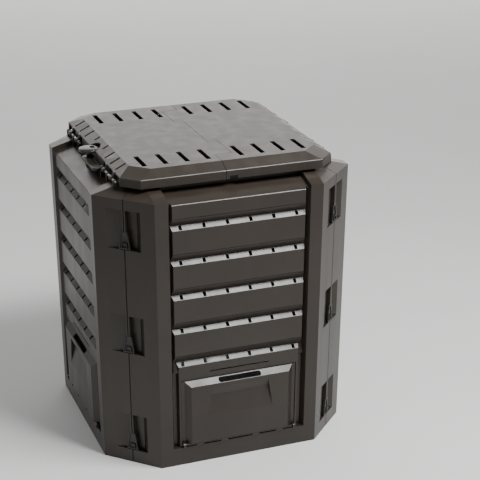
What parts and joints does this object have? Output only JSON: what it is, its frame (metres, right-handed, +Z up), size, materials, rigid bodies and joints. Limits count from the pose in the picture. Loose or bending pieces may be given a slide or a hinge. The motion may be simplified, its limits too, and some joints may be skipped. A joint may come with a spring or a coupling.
{
  "type": "compost bin",
  "caption": "Free-standing square garden compost bin with slatted walls, lift-out hatches and a slotted lid that opens from either side.",
  "frame": {"origin": "on the ground at the middle of the bin's foot", "axes": "+Z up, front wall towards -Y, +X to the right seen from the front"},
  "size_m": [0.719, 0.719, 0.828],
  "materials": {
    "shell": "dark brown-black moulded polypropylene, satin",
    "trim": "dark brown-black moulded polypropylene, satin",
    "pin": "plain galvanised rod"
  },
  "bodies": {
    "bin": {"wall_front": "shell", "wall_right": "shell", "wall_back": "shell", "wall_left": "shell", "hatch_pin_front": "pin", "hatch_pin_right": "pin", "hatch_pin_back": "pin", "hatch_pin_left": "pin", "clip_front_left_top": "trim", "clip_front_left_middle": "trim", "clip_front_left_bottom": "trim", "clip_front_right_top": "trim", "clip_front_right_middle": "trim", "clip_front_right_bottom": "trim", "clip_back_right_top": "trim", "clip_back_right_middle": "trim", "clip_back_right_bottom": "trim", "clip_back_left_top": "trim", "clip_back_left_middle": "trim", "clip_back_left_bottom": "trim", "lid_rod_left_back": "pin", "lid_rod_left_front": "pin"},
    "hatch_front": {"hatch_front": "shell"},
    "hatch_right": {"hatch_right": "shell"},
    "hatch_back": {"hatch_back": "shell"},
    "hatch_left": {"hatch_left": "shell"},
    "right_hinge": {"lid_rod_right_front": "pin", "lid_rod_right_back": "pin"},
    "lid": {"lid_half_left": "shell", "lid_half_right": "shell"},
    "lock": {"lock_disc": "trim", "lock_lever": "trim"}
  },
  "joints": [
    {"name": "hatch_front_tilt", "type": "hinge", "parent": "bin", "child": "hatch_front", "pos_m": [0, -0.34985, 0.059], "axis": [1, 0, 0], "range_deg": [0, 85]},
    {"name": "hatch_right_tilt", "type": "hinge", "parent": "bin", "child": "hatch_right", "pos_m": [0.34985, 0, 0.059], "axis": [0, 1, 0], "range_deg": [0, 85]},
    {"name": "hatch_back_tilt", "type": "hinge", "parent": "bin", "child": "hatch_back", "pos_m": [0, 0.34985, 0.059], "axis": [-1, 0, 0], "range_deg": [0, 85]},
    {"name": "hatch_left_tilt", "type": "hinge", "parent": "bin", "child": "hatch_left", "pos_m": [-0.34985, 0, 0.059], "axis": [0, -1, 0], "range_deg": [0, 85]},
    {"name": "lid_open_left_edge", "type": "hinge", "parent": "bin", "child": "right_hinge", "pos_m": [0.298, 0, 0.793], "axis": [0, 1, 0], "range_deg": [0, 100]},
    {"name": "lid_open_right_edge", "type": "hinge", "parent": "right_hinge", "child": "lid", "pos_m": [-0.298, 0, 0.793], "axis": [0, 1, 0], "range_deg": [-85, 0]},
    {"name": "lock_turn", "type": "hinge", "parent": "bin", "child": "lock", "pos_m": [-0.302, 0, 0.8], "axis": [0, 0, -1], "range_deg": [0, 90]}
  ]
}
